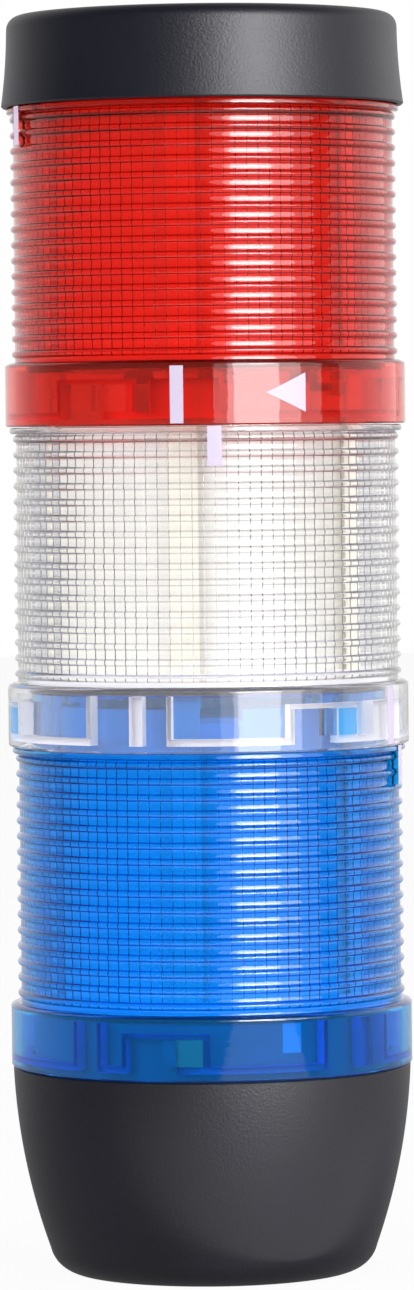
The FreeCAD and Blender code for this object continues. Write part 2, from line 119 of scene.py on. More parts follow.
def weld(gap: float) -> None:
    """Makes one corner of all that are nearer than a gap in metres, in edit mode."""
    bpy.ops.mesh.select_all(action="SELECT")
    bpy.ops.mesh.remove_doubles(threshold=gap)


def deselect_everything() -> None:
    """Goes to object mode with nothing selected."""
    if bpy.context.mode != "OBJECT":
        set_mode("OBJECT")
    bpy.ops.object.select_all(action="DESELECT")


def make_active(piece: Object) -> None:
    """Selects one object alone and makes it active."""
    deselect_everything()
    piece.select_set(True)
    bpy.context.view_layer.objects.active = piece


def turned_matrix(azimuth: float, height: float) -> Matrix:
    """The move that turns a part to an azimuth and lifts it.

    Args:
        azimuth: degrees about +Z.
        height: metres.

    Returns:
        A matrix for a mesh's vertices.
    """
    return Matrix.Translation((0.0, 0.0, height)) @ Matrix.Rotation(math.radians(azimuth), 4, "Z")


@dataclass(frozen=True)
class Spots:
    """Where corners or faces lie: radius and height in millimetres, azimuth in degrees."""

    r: Array
    azimuth: Array
    z: Array
    outward: Array | None = None  # of faces, the outward share of their normals

    def on(self, wall: float) -> Array:
        """True for each that lies on an upright wall of this radius."""
        return np.abs(self.r - wall) < SLACK

    def between(self, start: float, end: float) -> Array:
        """True for each between two azimuths, past 180 degrees where it has to."""
        return (self.azimuth - start) % 360.0 < (end - start) % 360.0


Wanted = Callable[[Spots], Array]


class Turning:
    """A part spun from a closed profile about the stack's axis, then worked on by its faces' places."""

    def __init__(self, name: str, profile: Sequence[Point], steps: int, slots: int) -> None:
        """Draws the profile point by point and spins it.

        Args:
            name: the object's name.
            profile: (radius, height) of each corner, in millimetres, without the first one repeated.
            steps: how many columns of faces go round.
            slots: how many material slots it has.
        """
        deselect_everything()
        bpy.ops.mesh.primitive_plane_add(size=MM)
        self.piece = bpy.context.active_object
        self.piece.name = name
        self.piece.data.name = name
        self.steps = steps
        set_mode("EDIT")
        bpy.ops.mesh.select_mode(type="VERT")
        bpy.ops.mesh.merge(type="CENTER")
        bpy.ops.transform.translate(value=self._place(profile[0]))
        corners = list(profile) + [profile[0]]
        for here, there in zip(corners, corners[1:]):
            step = self._place(there) - self._place(here)
            bpy.ops.mesh.extrude_vertices_move(TRANSFORM_OT_translate={"value": step})
        weld(MM / 1000)
        bpy.ops.mesh.spin(steps=steps, angle=math.tau, center=(0, 0, 0), axis=AXIS, use_auto_merge=True)
        weld(MM / 500)
        bpy.ops.mesh.normals_make_consistent(inside=False)
        set_mode("OBJECT")
        for _ in range(slots):
            self.piece.data.materials.append(None)

    @staticmethod
    def _place(point: Point) -> Vector:
        """A profile point in the half plane at azimuth 0, in metres."""
        return Vector((0.0, -point[0], point[1])) * MM

    @staticmethod
    def _spots(points: Array, outward: Array | None = None) -> Spots:
        """Tells where points in metres lie."""
        radius = np.hypot(points[:, 0], points[:, 1]) / MM
        azimuth = np.degrees(np.arctan2(points[:, 0], -points[:, 1]))
        return Spots(radius, azimuth, points[:, 2] / MM, outward)

    def corners(self) -> Spots:
        """Where every vertex lies."""
        points = np.empty(len(self.piece.data.vertices) * 3)
        self.piece.data.vertices.foreach_get("co", points)
        return self._spots(points.reshape(-1, 3))

    def move_corners(self, radius: Array, azimuth: Array, height: Array) -> None:
        """Puts every vertex where the three arrays say."""
        angle = np.radians(azimuth)
        points = np.column_stack((radius * np.sin(angle), -radius * np.cos(angle), height)) * MM
        self.piece.data.vertices.foreach_set("co", points.ravel())
        self.piece.data.update()

    def line_up(self, azimuths: Sequence[float], rows: Wanted) -> None:
        """Moves the nearest column of some rows onto each azimuth, so that a rib's edge can start there.

        Args:
            azimuths: the edges to make, in degrees.
            rows: picks the vertices that may move.
        """
        at = self.corners()
        free, azimuth = rows(at), at.azimuth
        pitch = 360.0 / self.steps
        for edge in azimuths:
            column = round(edge / pitch) * pitch
            off = (azimuth - column + 180.0) % 360.0 - 180.0
            azimuth = np.where(free & (np.abs(off) < pitch / 10), edge, azimuth)
        self.move_corners(at.r, azimuth, at.z)

    def faces(self, wanted: Wanted) -> Array:
        """Finds the faces whose centres lie in a place.

        Args:
            wanted: picks them by their centres and normals.

        Returns:
            True for each such face.
        """
        data = self.piece.data
        count = len(data.polygons)
        centres, normals = np.empty(count * 3), np.empty(count * 3)
        data.polygons.foreach_get("center", centres)
        data.polygons.foreach_get("normal", normals)
        centres, normals = centres.reshape(-1, 3), normals.reshape(-1, 3)
        along = centres[:, 0] * normals[:, 0] + centres[:, 1] * normals[:, 1]
        return wanted(self._spots(centres, along / np.hypot(centres[:, 0], centres[:, 1])))

    def paint(self, wanted: Wanted, slot: int) -> None:
        """Gives faces to one of the piece's material slots."""
        for index in np.flatnonzero(self.faces(wanted)):
            self.piece.data.polygons[index].material_index = slot

    def select(self, wanted: Wanted) -> int:
        """Selects faces by their place, in edit mode.

        Args:
            wanted: as for faces.

        Returns:
            How many faces are selected.
        """
        data = self.piece.data
        mask = self.faces(wanted)
        data.vertices.foreach_set("select", np.zeros(len(data.vertices), bool))
        data.edges.foreach_set("select", np.zeros(len(data.edges), bool))
        data.polygons.foreach_set("select", mask)
        data.update()
        make_active(self.piece)
        set_mode("EDIT")
        bpy.ops.mesh.select_mode(type="FACE")
        return int(mask.sum())

    def pull(self, wanted: Wanted, start: float, end: float) -> None:
        """Extrudes faces radially from one radius to another, in millimetres."""
        if not self.select(wanted):
            raise ValueError(f"{self.piece.name}: no faces to extrude")
        bpy.ops.mesh.extrude_region_move(TRANSFORM_OT_translate={"value": (0, 0, 0)})
        share = end / start
        bpy.ops.transform.resize(value=(share, share, 1.0), center_override=(0, 0, 0))
        set_mode("OBJECT")

    def slice_faces(self, wanted: Wanted, azimuth: float, along: Point, normal: Point) -> None:
        """Cuts faces by a plane that holds the radius at an azimuth.

        Args:
            wanted: picks the faces to cut.
            azimuth: where the plane's frame stands, in degrees.
            along: a point on the plane, (across, height), in millimetres.
            normal: the plane's normal in the same frame.
        """
        self.select(wanted)
        frame = Matrix.Rotation(math.radians(azimuth), 3, "Z")
        bpy.ops.mesh.bisect(
            plane_co=frame @ Vector((along[0], 0.0, along[1])) * MM,
            plane_no=frame @ Vector((normal[0], 0.0, normal[1])),
        )
        set_mode("OBJECT")

    def finish(self, sharp_above: float) -> Object:
        """Shades the part smooth, apart from edges over an angle in degrees."""
        make_active(self.piece)
        bpy.ops.object.shade_smooth_by_angle(angle=math.radians(sharp_above))
        return self.piece


# --- Nodes and colours ---


def linear(code: str) -> tuple[float, float, float, float]:
    """Turns an sRGB hex code into a linear colour.

    Args:
        code: such as #FFFFFF.

    Returns:
        Red, green, blue and an alpha of 1.
    """
    values = [int(code[i : i + 2], 16) / 255 for i in (1, 3, 5)]
    turned = [v / 12.92 if v <= 0.04045 else ((v + 0.055) / 1.055) ** 2.4 for v in values]
    return (turned[0], turned[1], turned[2], 1.0)


def add_node(tree: Tree, kind: str, settings: dict | None = None, links: dict | None = None) -> Node:
    """Adds a node to a material or world.

    Args:
        tree: the node tree.
        kind: the node's type name, without its ShaderNode prefix.
        settings: property names, or socket names or numbers, with their values.
        links: socket names or numbers with what feeds them, an output or a node's first output.

    Returns:
        The new node.
    """
    node = tree.nodes.new(f"ShaderNode{kind}")
    for key, value in (settings or {}).items():
        if isinstance(key, int) or key in node.inputs:
            node.inputs[key].default_value = value
        else:
            setattr(node, key, value)
    for key, source in (links or {}).items():
        tree.links.new(source.outputs[0] if isinstance(source, Node) else source, node.inputs[key])
    return node


def blank_tree(owner: bpy.types.Material | bpy.types.World) -> Tree:
    """Gives a new material or world an empty node tree.

    Args:
        owner: the material or world.

    Returns:
        Its node tree.
    """
    owner.use_nodes = True
    owner.node_tree.nodes.clear()
    return owner.node_tree


def ramp(tree: Tree, source: Node, stops: Sequence[tuple[float, str]]) -> Node:
    """Adds a colour ramp over a value.

    Args:
        tree: the node tree.
        source: the node that gives the value.
        stops: position and hex code of each stop.

    Returns:
        The ramp.
    """
    node = add_node(tree, "ValToRGB", links={"Fac": source})
    elements = node.color_ramp.elements
    while len(elements) < len(stops):
        elements.new(0.5)
    for element, (position, code) in zip(elements, stops):
        element.position = position
        element.color = linear(code)
    return node


@dataclass(frozen=True)
class Finish:
    """A surface finish: what it is, its colours and how it shines. A kind of finish adds its own nodes."""

    name: str
    base: str
    varied: str
    roughness: float
    ior: float = 1.5
    metallic: float = 0.0
    grain_mm: float = 0.4
    relief_mm: float = 0.02
    drift_mm: float = 32.0
    drift_stops: Point = (0.35, 0.65)
    drift_detail: float = 2.0

    def material(self) -> bpy.types.Material:
        """Builds the finish as a node material.

        Returns:
            The material.
        """
        material = bpy.data.materials.new(self.name)
        tree = blank_tree(material)
        output = add_node(tree, "OutputMaterial")
        place = add_node(tree, "TexCoord").outputs["Object"]
        shine = {"Roughness": self.roughness, "IOR": self.ior, "Metallic": self.metallic}
        shader = add_node(tree, "BsdfPrincipled", shine)
        self.dress(tree, shader, place)
        self.connect(tree, shader, output)
        return material

    def connect(self, tree: Tree, shader: Node, output: Node) -> None:
        """Feeds the material's output from the shader."""
        tree.links.new(shader.outputs["BSDF"], output.inputs["Surface"])

    def dress(self, tree: Tree, shader: Node, place: Socket) -> None:
        """Adds a soft colour change and a fine grain.

        Args:
            tree: the material's node tree.
            shader: its Principled node.
            place: the Object coordinates.
        """
        tree.links.new(self.drift(tree, place).outputs[0], shader.inputs["Base Color"])
        self.grain(tree, shader, place)

    def drift(self, tree: Tree, place: Socket) -> Node:
        """The base colour changing softly into the varied one, drift_mm wide.

        Args:
            tree: the material's node tree.
            place: the Object coordinates.

        Returns:
            The colour's node.
        """
        size = {"Scale": 1 / (self.drift_mm * MM), "Detail": self.drift_detail}
        noise = add_node(tree, "TexNoise", size, {"Vector": place})
        return ramp(tree, noise, list(zip(self.drift_stops, (self.base, self.varied))))

    def grain(self, tree: Tree, shader: Node, place: Socket | Node) -> None:
        """Adds a fine bump, its bumps grain_mm apart and relief_mm high.

        Args:
            tree: the material's node tree.
            shader: its Principled node.
            place: what gives the coordinates.
        """
        size = {"Scale": 1 / (self.grain_mm * MM), "Detail": 3.0}
        noise = add_node(tree, "TexNoise", size, {"Vector": place})
        depth = {"Strength": 1.0, "Distance": self.relief_mm * MM}
        bump = add_node(tree, "Bump", depth, {"Height": noise})
        tree.links.new(bump.outputs["Normal"], shader.inputs["Normal"])


@dataclass(frozen=True)
class TintedPolycarbonate(Finish):
    """Dyed-through polycarbonate from a polished mould: it bends light, and lamps shine through it."""

    roughness: float = 0.03
    ior: float = 1.585
    grain_mm: float = 1.5
    relief_mm: float = 0.01
    drift_mm: float = 48.0
    drift_stops: Point = (0.3, 0.7)
    # Painted shade: the colour that the ribs' steep flanks are darkened to, and the upright shares of the
    # normal over which that darkening fades in, holds and fades out.
    flank_painted_shade: str = "#BCB8C4"
    painted_shade_slopes: Band = (0.5, 0.74, 0.94, 0.985)

    def dress(self, tree: Tree, shader: Node, place: Socket) -> None:
        """Makes the plastic clear, with painted shade: the colour is darkened where the ribs' steep flanks
        tilt the normal, standing in for the dark lines that the ribs' refraction draws there.
        """
        facing = add_node(tree, "SeparateXYZ", links={0: add_node(tree, "NewGeometry").outputs["Normal"]})
        slope = add_node(tree, "Math", {"operation": "ABSOLUTE"}, {0: facing.outputs["Z"]})
        stops = list(zip(self.painted_shade_slopes, (WHITE, self.flank_painted_shade, self.flank_painted_shade, WHITE)))
        shade = ramp(tree, slope, stops)
        whole = {"data_type": "RGBA", "blend_type": "MULTIPLY", 0: 1.0}
        # Painted shade: the drifting colour is multiplied by the darkening on the ribs' steep flanks.
        painted_shade_colour = add_node(tree, "Mix", whole, {6: self.drift(tree, place), 7: shade})
        tree.links.new(painted_shade_colour.outputs[2], shader.inputs["Base Color"])
        shader.inputs["Transmission Weight"].default_value = CLEARNESS
        self.grain(tree, shader, place)

    def connect(self, tree: Tree, shader: Node, output: Node) -> None:
        """Lets the lamps' light through to the parts inside, dyed by the plastic."""
        tint = [math.sqrt(value) for value in linear(self.base)]
        clear = add_node(tree, "BsdfTransparent", {"Color": tint})
        shadow = add_node(tree, "LightPath").outputs["Is Shadow Ray"]
        mix = add_node(tree, "MixShader", links={0: shadow, 1: shader, 2: clear})
        tree.links.new(mix.outputs["Shader"], output.inputs["Surface"])


@dataclass(frozen=True)
class RolledMetal(Finish):
    """Sheet or wire metal with fine lines from rolling or drawing, and a patchy tarnish."""

    drift_mm: float = 12.0
    drift_stops: Point = (0.35, 0.7)
    drift_detail: float = 3.0
    stretch: float = 12.0

    def grain(self, tree: Tree, shader: Node, place: Socket | Node) -> None:
        """Draws the grain out into lines along the length."""
        lines = add_node(tree, "Mapping", {"Scale": (1.0, 1.0, 1 / self.stretch)}, {"Vector": place})
        super().grain(tree, shader, lines)


# Moulded ABS with a spark-eroded grain scatters its highlight into a soft grey sheen.
BLACK_ABS = Finish("black_abs_grained", "#060612", "#0A0A18", 0.45, 1.56, grain_mm=0.45, relief_mm=0.06)
# Dyed polycarbonate shows its colour by depth, and its polished ribs flash white. Each also has painted
# shade: a darker colour on the ribs' steep flanks.
RED_PC = TintedPolycarbonate("red_polycarbonate", "#EE5545", "#F0584A", flank_painted_shade="#983034")
CLEAR_PC = TintedPolycarbonate("clear_polycarbonate", "#FCFCFF", "#FEFEFF")
BLUE_PC = TintedPolycarbonate("blue_polycarbonate", "#22B8FF", "#28BBFF", flank_painted_shade="#2C78C4")
# The chambers' ribs get an opaque, bright, rough finish in place of clear plastic, so they show as solid
# bright lines behind the wall: painted light, standing in for the light that the clear ribs bend and pipe
# along their edges.
RED_RIBS_PAINTED_LIGHT = Finish("red_ribs_painted_light", "#EC4A42", "#F0544C", 0.5, 1.585, grain_mm=0.3)
CLEAR_RIBS_PAINTED_LIGHT = Finish("clear_ribs_painted_light", "#F4F4FC", "#F8F8FE", 0.5, 1.585, grain_mm=0.3)
BLUE_RIBS_PAINTED_LIGHT = Finish("blue_ribs_painted_light", "#1E74D0", "#2680DC", 0.5, 1.585, grain_mm=0.3)
# Opal polycarbonate spreads the diodes' light, so it looks like milk glass with a satin skin.
OPAL = Finish("opal_diffuser", "#F4F1E4", "#F7F5EC", 0.45, 1.585)
# Plain moulded ABS has a half-gloss white skin that brightens what stands before it.
WHITE_ABS = Finish("white_abs", "#ECECEF", "#F2F2F4", 0.4, 1.53)
# Filling ink dries dull, so the marks read as one even white from every side.
MARK_WHITE = Finish("white_mark_filling", "#BCB0C8", "#C0B6CC", 0.5, 1.5, grain_mm=0.2, relief_mm=0.01)
# The neck under the lowest collar is painted grey, lighter than the black bowl, to stand in for the light
# seen through the blue collar: painted light, which shows as a strong blue behind the blue plastic.
GREY_NECK_PAINTED_LIGHT = Finish("grey_neck_painted_light", "#7E8288", "#868A90", 0.3, 1.8, grain_mm=0.45, relief_mm=0.03)
# Glass-filled nylon is dull and mottled.
GREY_NYLON = Finish("grey_nylon", "#7A7E82", "#84888C", 0.5, 1.53)
# Solder mask flows out smooth, with a soft gloss.
SOLDER_MASK = Finish("white_solder_mask", "#E6E9E2", "#EEF0EA", 0.35, 1.5, grain_mm=0.8, relief_mm=0.01)
# Phosphor in an unlit diode's gel is egg yellow.
DIODE_GEL = Finish("diode_phosphor_gel", "#E8D060", "#F0DC78", 0.25, 1.45, grain_mm=0.6, relief_mm=0.01)
# Tinned strips are pale and satin; zinc on steel is a bluish mirror dulled by its lines.
BRASS = RolledMetal("tinned_brass", "#F4F0E0", "#EFEAD4", 0.6, metallic=0.3, grain_mm=0.25, relief_mm=0.008)
ZINC_STEEL = RolledMetal("zinc_plated_steel", "#B9BCC0", "#A9ADB2", 0.3, metallic=1.0, grain_mm=0.2)
# Moulded nitrile is almost black and hardly shines.
NITRILE = Finish("nitrile_rubber", "#1A1A1A", "#242424", 0.7, 1.52, grain_mm=0.5, relief_mm=0.02)


Worn = tuple[tuple[str, Finish], ...]


# --- Sub-assemblies ---


@dataclass(frozen=True)
class BayonetCollar:
    """The inside of a collar: chambers that the lugs of the part below turn in, and upright ribs."""

    radius: float = 36.0
    bore: float = 34.3
    depth: float = 10.1
    rib_bore: float = 32.2
    slot_starts: Row = (-161.6, -38.5, 84.6)
    slot_width: float = 23.6
    entry_width: float = 15.1
    rib_angle: float = 1.4
    ledge: Point = (1.2, 2.4)
    roof: Point = (7.4, 8.2)
    rib_top: float = 9.9
    wall_ribs: Row = (-101.8, -76.2, 180.0, 188.7)
    key_rib: Point = (-87.5, -83.5)
    stop_shelf: Point = (-8.4, 12.0)
    rim_edge: float = 0.3
    bore_edge: float = 0.2

    def bore_profile(self) -> list[Point]:
        """Corners of the bore, from its top down to the rim."""
        heights = (self.depth, self.rib_top, *self.roof[::-1], *self.ledge[::-1], self.bore_edge)
        return [(self.bore, z) for z in heights] + [(self.bore + self.bore_edge, 0.0)]

    def ledges(self) -> list[Point]:
        """Start and end of each stretch of the ledge."""
        gaps = ((self.wall_ribs[0], self.wall_ribs[1]), (self.wall_ribs[2], self.wall_ribs[3]))
        starts = sorted(self.slot_starts)
        stretches = []
        for start, end in zip(starts, starts[1:] + [starts[0] + 360.0]):
            low = start + self.entry_width
            for gap_start, gap_end in gaps:
                if low < gap_start and gap_end < end:
                    stretches.append((low, gap_start + self.rib_angle))
                    low = gap_end
            stretches.append((low, end))
        return stretches

    def ribs(self) -> list[Band]:
        """(start, end, low, high) of every rib: azimuths in degrees and heights in millimetres."""
        low, high = self.ledge
        under, top = self.roof
        wall = self.rib_angle
        bands = [(start, end, low, high) for start, end in self.ledges()]
        for start in self.slot_starts:
            end = start + self.slot_width
            bands.append((start - wall, start, low, top))
            bands.append((start - wall, end + wall, under, top))
            bands.append((end, end + wall, low, top))
        for start in self.wall_ribs:
            bands.append((start, start + wall, low, self.rib_top))
        bands.append((*self.key_rib, low, self.rib_top))
        bands.append((self.stop_shelf[0], self.stop_shelf[0] + wall, low, top))
        bands.append((*self.stop_shelf, under, top))
        return bands

    def shape(self, turning: Turning) -> None:
        """Raises the ribs from the bore of a spun part whose rim is at height 0.

        Args:
            turning: the part, spun from a profile that holds bore_profile.
        """
        ribs = self.ribs()
        edges = sorted({edge for band in ribs for edge in band[:2]})
        turning.line_up(edges, lambda at: at.on(self.bore) & (at.z < self.depth + HAIR))

        def rib_face(at: Spots) -> Array:
            """Faces of the bore that a rib stands on."""
            held = np.zeros(len(at.r), bool)
            for start, end, low, high in ribs:
                held |= at.between(start, end) & (at.z > low) & (at.z < high)
            return held & at.on(self.bore) & (at.outward < -UPRIGHT)

        turning.pull(rib_face, self.bore, self.rib_bore)


@dataclass(frozen=True)
class BayonetNeck:
    """The neck that a collar goes over, with three lugs that lock in its chambers."""

    radius: float = 31.9
    wall: float = 1.7
    height: float = 10.0
    chamfer: float = 0.4
    bore_edge: float = 0.2
    lug_radius: float = 33.9
    lug_low: float = 2.55
    lug_high: float = 7.25
    lug_width: float = 11.7
    lug_slack: float = 0.7

    @property
    def bore(self) -> float:
        """Radius of the inside."""
        return self.radius - self.wall

    def profile(self, foot: float) -> list[Point]:
        """Corners of the neck's outside and top, from its foot upwards."""
        top = foot + self.height
        heights = (foot, foot + self.lug_low, foot + self.lug_high, top - self.chamfer)
        corners = [(self.radius, z) for z in heights]
        return corners + [(self.radius - self.chamfer, top), (self.bore + self.bore_edge, top)]

    def shape(self, turning: Turning, foot: float, index: float, collar: BayonetCollar) -> None:
        """Raises the lugs.

        Args:
            turning: the part, spun from a profile that holds this neck's profile.
            foot: height of the neck's foot, in millimetres.
            index: azimuth of the index bar of the collar above.
            collar: that collar.
        """
        ends = [index + start + collar.slot_width - self.lug_slack for start in collar.slot_starts]
        spans = [(end - self.lug_width, end) for end in ends]
        edges = [edge for span in spans for edge in span]
        turning.line_up(edges, lambda at: at.on(self.radius) & (at.z > foot - HAIR))

        def lug_face(at: Spots) -> Array:
            """Faces of the neck that a lug stands on."""
            held = np.zeros(len(at.r), bool)
            for start, end in spans:
                held |= at.between(start, end)
            held &= (at.z > foot + self.lug_low) & (at.z < foot + self.lug_high)
            return held & at.on(self.radius) & (at.outward > UPRIGHT)

        turning.pull(lug_face, self.radius, self.lug_radius)


@dataclass(frozen=True)
class LensMoulding:
    """Collar, ribbed and fluted lens, and neck, as one moulding, with its rim at 0 and its bar in front."""

    collar: BayonetCollar = BayonetCollar()
    neck: BayonetNeck = BayonetNeck()
    pitch: float = 57.3
    seam: float = 0.15
    collar_height: float = 11.5
    shoulder: Line = ((0.0, 0.75), (0.12, 0.5), (1.0, 0.06), (1.2, 0.0))
    rib_count: int = 16
    rib_pitch: float = 2.808
    first_rib: float = 13.0
    ridge: float = 34.75
    valley: float = 34.14
    valley_step: float = 0.1
    bead_radius: float = 0.62
    bead_angle: float = 68.0
    bead_parts: Row = (0.2, 0.62, 1.0)
    fillet_radius: float = 0.32
    groove_angle: float = 5.0
    band: float = 35.3
    band_low: float = 56.05
    band_foot: float = 0.25
    band_crown: Line = ((0.0, 0.4), (0.12, 0.12), (0.4, 0.0))
    flute_count: int = 100
    flute_root: float = 32.3
    flute_tip: float = 31.95
    flute_flat: float = 0.91
    flute_low: float = 12.9
    seat_bore: float = 32.5
    roof: float = 55.4
    steps: int = 400
    mark_azimuth: float = -61.5
    mark_half: float = 1.25
    mark_low: float = 50.2
    mark_run: float = 0.6
    mark_face: float = 35.42
    bar_half: float = 1.205
    recess: float = 35.72
    bar_top: float = 10.48
    arrow_centre: float = 31.27
    arrow_half: Point = (3.79, 3.48)
    arrow_middle: float = 5.6
    arrow_room: float = 1.5
    next_bar: float = -72.0

    def rib(self) -> list[Point]:
        """Half of a rib's section, from its crest: a round bead, a fillet and a slightly hollow groove.

        Returns:
            (depth under the crest, distance from the crest along the axis) of each corner.
        """
        bead, fillet = self.bead_radius, self.fillet_radius
        steep, shallow = math.radians(self.bead_angle), math.radians(self.groove_angle)
        corners = []
        for part in self.bead_parts:
            corners.append((bead * (1 - math.cos(steep * part)), bead * math.sin(steep * part)))
        foot_depth, foot_reach = corners[-1]
        for angle in ((steep + shallow) / 2, shallow):
            depth = foot_depth + fillet * (math.cos(angle) - math.cos(steep))
            corners.append((depth, foot_reach + fillet * (math.sin(steep) - math.sin(angle))))
        return corners

    def ribs(self) -> list[Point]:
        """Corners of the whole ribbed wall, from the lowest rib up."""
        half = self.rib()
        corners = []
        for i in range(self.rib_count):
            z = self.first_rib + i * self.rib_pitch
            corners += [(self.ridge - depth, z - reach) for depth, reach in reversed(half)]
            corners += [(self.ridge - depth, z + reach) for depth, reach in half]
        return [corner for corner in corners if corner[1] > self.collar_height]

    def profile(self) -> list[Point]:
        """The whole closed section, from the rim up the outside and down the inside."""
        top = self.pitch - self.seam
        inner = self.neck.bore
        rim, high, edge = self.collar.radius, self.collar_height, self.collar.rim_edge
        outside = [(rim - edge, 0.0), (rim, edge), (rim, self.bar_top)]
        outside += [(rim - inset, high - drop) for inset, drop in self.shoulder]
        outside += [(self.valley + self.valley_step, high)]
        band = [(self.band - self.band_foot, self.band_low), (self.band, self.band_low + self.band_foot)]
        band += [(self.band - inset, top - drop) for inset, drop in self.band_crown]
        inside = [(inner, self.pitch + self.neck.height - self.neck.bore_edge), (inner, self.roof)]
        inside += [(self.flute_root, self.roof), (self.flute_root, self.flute_low)]
        inside += [(self.seat_bore, self.flute_low), (self.seat_bore, self.collar.depth)]
        neck = self.neck.profile(self.pitch)
        neck[0] = (self.neck.radius, top)
        return outside + self.ribs() + band + neck + inside + self.collar.bore_profile()

    def build(self) -> Object:
        """Spins the moulding and works in its ribs, flutes, lugs and recesses.

        Returns:
            The finished object, at the origin.
        """
        turning = Turning("lens_moulding", self.profile(), self.steps, RIB_SLOT + 1)
        self.cut_flutes(turning)
        self.collar.shape(turning)
        # Painted light: the ribs' faces go to their own slot, which wears an opaque bright finish in place
        # of the clear plastic.
        bore = self.collar.bore - SLACK
        low, high = self.collar.ledge[0] - SLACK, self.collar.rib_top + SLACK
        turning.paint(lambda at: (at.r < bore) & (at.z > low) & (at.z < high), RIB_SLOT)
        self.neck.shape(turning, self.pitch, self.next_bar, self.collar)
        self.raise_top_mark(turning)
        self.sink_bar(turning)
        self.sink_arrow(turning)
        return turning.finish(sharp_above=40.0)

    def cut_flutes(self, turning: Turning) -> None:
        """Works the inner wall into upright flats with a narrow groove between each two."""
        at = turning.corners()
        wall = at.on(self.flute_root) & (at.z > self.flute_low - HAIR) & (at.z < self.roof + HAIR)
        # A flat has four columns of corners, at -1, -0.5, 0 and 0.5 of its half width. Those at the halves
        # move out to its edges, and the first sinks into the groove's root.
        share = (at.azimuth * self.flute_count / 360.0 + 0.01) % 1.0 * 2.0 - 1.0
        side = np.where(np.abs(np.abs(share) - 0.5) < 0.1, np.sign(share), 0.0)
        shift = side * (self.flute_flat - 0.5) * 180.0 / self.flute_count
        azimuth = at.azimuth + np.where(wall, shift, 0.0)
        face = np.where(np.abs(share) < 0.9, self.flute_tip, self.flute_root)
        turning.move_corners(np.where(wall, face, at.r), azimuth, at.z)

    def raise_top_mark(self, turning: Turning) -> None:
        """Raises the bar on the lens that the next collar's bar turns away from."""
        half = math.degrees(self.mark_half / self.band)
        edges = (self.mark_azimuth - half, self.mark_azimuth + half)
        low, top = self.mark_low, self.pitch - self.seam
        foot, ground = low - self.mark_run, self.valley - SLACK
        turning.line_up(edges, lambda at: (at.r > ground) & (at.z > foot) & (at.z < top + HAIR))
        turning.select(
            lambda at: at.between(*edges)
            & (at.z > low)
            & (at.z < top)
            & (at.r > ground)
            & (at.outward > LEANING)
        )
        bpy.ops.mesh.extrude_region_move(TRANSFORM_OT_translate={"value": (0, 0, 0)})
        set_mode("OBJECT")
        raised = np.empty(len(turning.piece.data.vertices), bool)
        turning.piece.data.vertices.foreach_get("select", raised)
        spots = turning.corners()
        turning.move_corners(np.where(raised, self.mark_face, spots.r), spots.azimuth, spots.z)
        face = self.mark_face - SLACK
        turning.paint(
            lambda at: at.between(*edges) & (at.r > face) & (at.z > low) & (at.outward > UPRIGHT),
            MARK_SLOT,
        )

    def sink_bar(self, turning: Turning) -> None:
        """Sinks the place of the white index bar into the collar."""
        rim = self.collar.radius
        half = math.degrees(self.bar_half / rim)
        turning.line_up((-half, half), lambda at: at.on(rim) & (at.z < self.bar_top + HAIR))

        def bar(at: Spots) -> Array:
            """Faces of the collar under the bar."""
            high = (at.z > self.collar.rim_edge) & (at.z < self.bar_top)
            return high & at.between(-half, half) & at.on(rim) & (at.outward > UPRIGHT)

        turning.pull(bar, rim, self.recess)

    def sink_arrow(self, turning: Turning) -> None:
        """Sinks the place of the white arrow: three cuts, and the faces between them pushed in."""
        rim = self.collar.radius
        length, height = self.arrow_half
        middle, centre = self.arrow_middle, self.arrow_centre

        def near(at: Spots) -> Array:
            """Faces of the collar round the arrow."""
            reach = math.degrees(length / rim) + self.arrow_room
            round_it = at.between(centre - reach, centre + reach) & at.on(rim)
            return round_it & (at.z < self.bar_top) & (at.outward > UPRIGHT)

        slope = height / (2 * length)
        for side in (1.0, -1.0):
            turning.slice_faces(near, centre, (-length, middle), (-slope * side, 1.0))
        turning.slice_faces(near, centre, (length, middle), (1.0, 0.0))

        def inside(at: Spots) -> Array:
            """Faces between the three cuts."""
            across = at.r * np.sin(np.radians(at.azimuth - centre))
            limit = slope * (across + length)
            return near(at) & (across < length) & (np.abs(at.z - middle) < limit)

        turning.pull(inside, rim, self.recess)


class Module(Enum):
    """The three light modules, from the base upwards, with the azimuth of each one's index bar."""

    BLUE = ("blue", 136.0, BLUE_PC, BLUE_RIBS_PAINTED_LIGHT)
    CLEAR = ("clear", 64.0, CLEAR_PC, CLEAR_RIBS_PAINTED_LIGHT)
    RED = ("red", -8.0, RED_PC, RED_RIBS_PAINTED_LIGHT)

    def __init__(self, label: str, azimuth: float, plastic: TintedPolycarbonate, ribs: Finish) -> None:
        """Keeps the parts of the value by name."""
        self.label = label
        self.azimuth = azimuth
        self.plastic = plastic
        self.ribs = ribs


